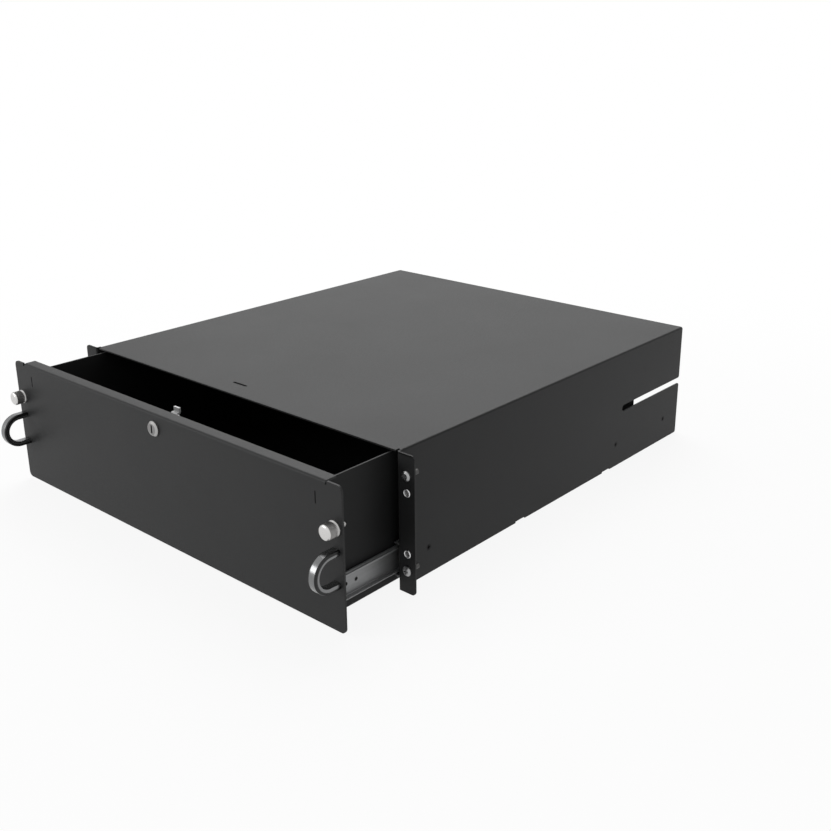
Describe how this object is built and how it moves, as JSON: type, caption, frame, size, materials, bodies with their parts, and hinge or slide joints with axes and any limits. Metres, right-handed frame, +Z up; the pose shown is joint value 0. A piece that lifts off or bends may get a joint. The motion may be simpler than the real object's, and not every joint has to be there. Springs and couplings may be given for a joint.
{
  "type": "sliding rack drawer",
  "caption": "Rack-mount drawer on ball-bearing slides, with a cam lock, captive thumbscrews and U-shaped pulls on its front panel.",
  "frame": {"origin": "centre of the four rack screws, in the plane of the ears' rear faces", "axes": "+X to the right seen from the front, +Y to the rear along the slides, +Z up"},
  "size_m": [0.4826, 0.5976, 0.1328],
  "materials": {
    "black_paint": "fine black powder coat, satin",
    "black_screw": "black oxide",
    "zinc": "bright zinc plate on rolled steel",
    "nickel": "satin nickel plate",
    "chrome": "bright chrome plate",
    "ball_steel": "polished hardened steel",
    "bumper": "moulded nylon"
  },
  "bodies": {
    "chassis": {"chassis_shell": "black_paint", "ear_inserts": "zinc", "rack_screws": "nickel", "cabinet_rail_screws": "black_screw", "left_cabinet_rail": "zinc", "right_cabinet_rail": "zinc", "left_rail_bumper": "bumper", "right_rail_bumper": "bumper"},
    "drawer": {"front_panel": "black_paint", "drawer_tray": "black_paint", "drawer_back": "black_paint", "drawer_rail_screws": "zinc", "handle_screws": "zinc", "lock_body": "nickel", "lock_nut": "nickel", "left_drawer_rail": "zinc", "right_drawer_rail": "zinc", "left_handle": "chrome", "right_handle": "chrome", "left_ferrule": "nickel", "right_ferrule": "nickel"},
    "lock": {"lock_plug": "nickel", "lock_cam": "zinc", "cam_screw": "zinc"},
    "left_cage": {"left_ball_cage": "zinc", "left_balls": "ball_steel"},
    "right_cage": {"right_ball_cage": "zinc", "right_balls": "ball_steel"},
    "left_screw_carrier": {"left_retaining_ring": "zinc"},
    "right_screw_carrier": {"right_retaining_ring": "zinc"},
    "left_screw": {"left_thumbscrew": "nickel"},
    "right_screw": {"right_thumbscrew": "nickel"}
  },
  "joints": [
    {"name": "drawer_slide", "type": "slide", "parent": "chassis", "child": "drawer", "axis": [0, -1, 0], "range_m": [-0.0787, 0.2428]},
    {"name": "left_cage_slide", "type": "slide", "parent": "chassis", "child": "left_cage", "axis": [0, -1, 0], "range_m": [-0.03935, 0.1214]},
    {"name": "right_cage_slide", "type": "slide", "parent": "chassis", "child": "right_cage", "axis": [0, -1, 0], "range_m": [-0.03935, 0.1214]},
    {"name": "lock_turn", "type": "hinge", "parent": "drawer", "child": "lock", "pos_m": [0, -0.0852, 0.0522], "axis": [0, -1, 0], "range_deg": [0, 90]},
    {"name": "left_screw_pull", "type": "slide", "parent": "drawer", "child": "left_screw_carrier", "axis": [0, -1, 0], "range_m": [0, 0.008]},
    {"name": "right_screw_pull", "type": "slide", "parent": "drawer", "child": "right_screw_carrier", "axis": [0, -1, 0], "range_m": [0, 0.008]},
    {"name": "left_screw_turn", "type": "hinge", "parent": "left_screw_carrier", "child": "left_screw", "pos_m": [-0.23255, -0.0852, 0.02857], "axis": [0, -1, 0], "continuous": true},
    {"name": "right_screw_turn", "type": "hinge", "parent": "right_screw_carrier", "child": "right_screw", "pos_m": [0.23255, -0.0852, 0.02857], "axis": [0, -1, 0], "continuous": true}
  ],
  "couplings": [
    {"joint": "left_cage_slide", "follows": "drawer_slide", "ratio": 0.5},
    {"joint": "right_cage_slide", "follows": "drawer_slide", "ratio": 0.5}
  ]
}
